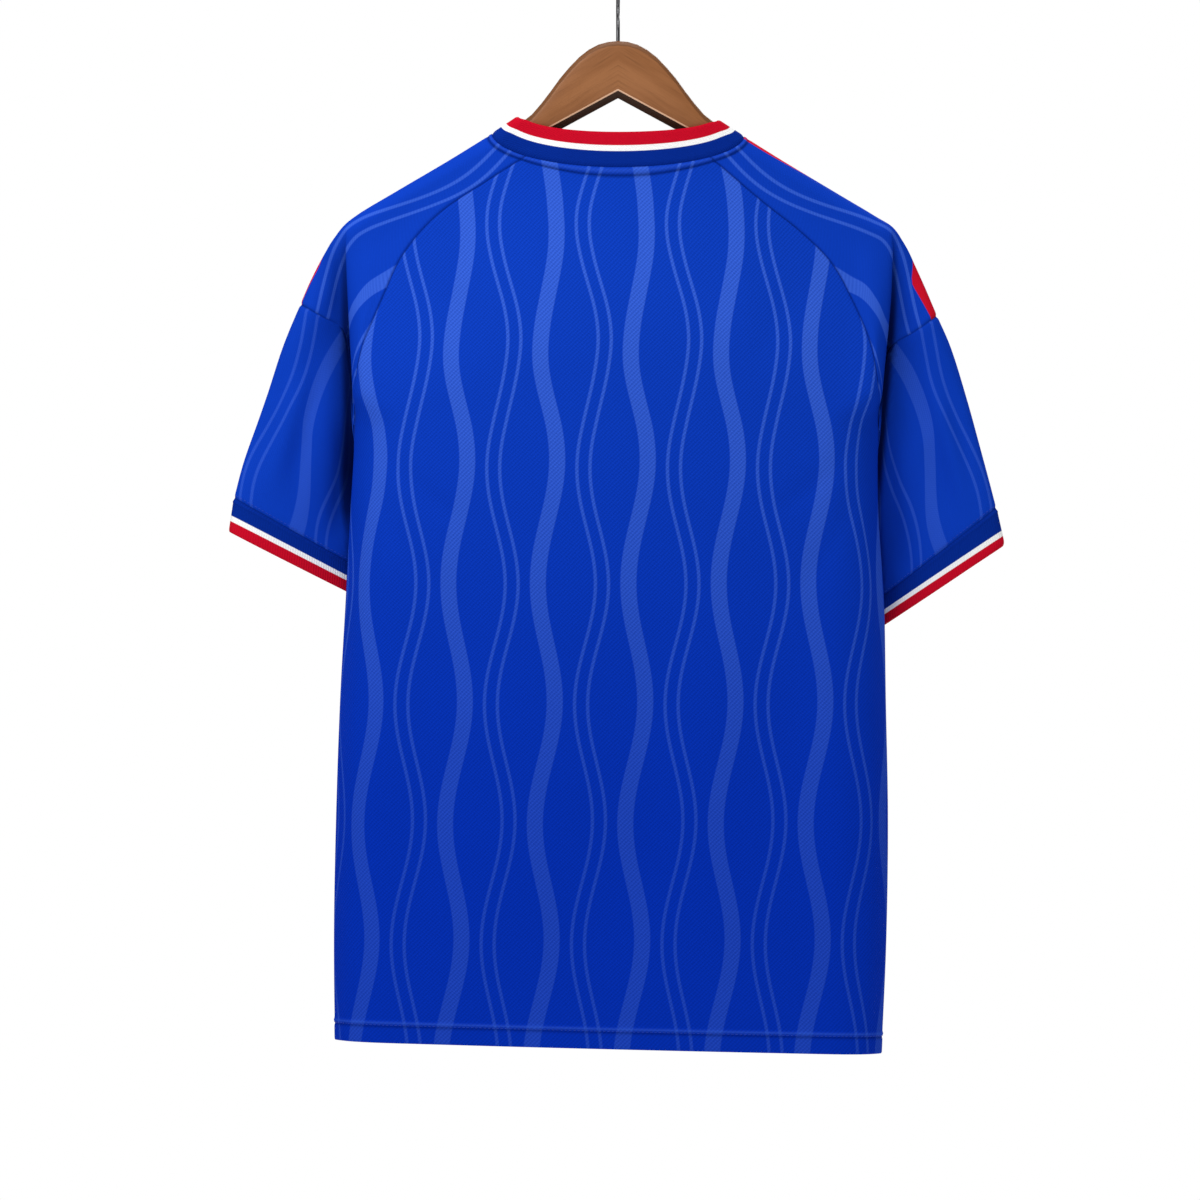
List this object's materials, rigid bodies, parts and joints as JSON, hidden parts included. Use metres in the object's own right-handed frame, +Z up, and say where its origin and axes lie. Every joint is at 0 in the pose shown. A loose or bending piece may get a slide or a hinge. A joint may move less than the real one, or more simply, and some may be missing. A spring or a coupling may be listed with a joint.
{
  "type": "football jersey on a wooden hanger",
  "caption": "Short-sleeved raglan football jersey with rib crew collar and rib cuffs, hung open and nearly flat on a contoured wooden hanger with a steel hook.",
  "frame": {"origin": "inside of the top of the hook, where a rail carries the hanger", "axes": "+X to the right seen from behind, +Y towards the wearer's front, +Z up"},
  "size_m": [0.6192, 0.1142, 0.8682],
  "materials": {
    "jersey_blue": "fine royal blue polyester knit with tonal wave stripes",
    "rib_knit": "dark blue rib knit with a white and a red band at the free edge",
    "hanger_wood": "satin varnished brown wood",
    "hook_steel": "dark plated steel wire"
  },
  "bodies": {
    "root": {"back_panel": "jersey_blue", "front_panel": "jersey_blue", "yoke_left": "jersey_blue", "yoke_right": "jersey_blue", "sleeve_left": "jersey_blue", "sleeve_right": "jersey_blue", "cuff_left": "rib_knit", "cuff_right": "rib_knit", "collar": "rib_knit", "hanger_wood": "hanger_wood", "hanger_hook": "hook_steel"}
  },
  "joints": []
}
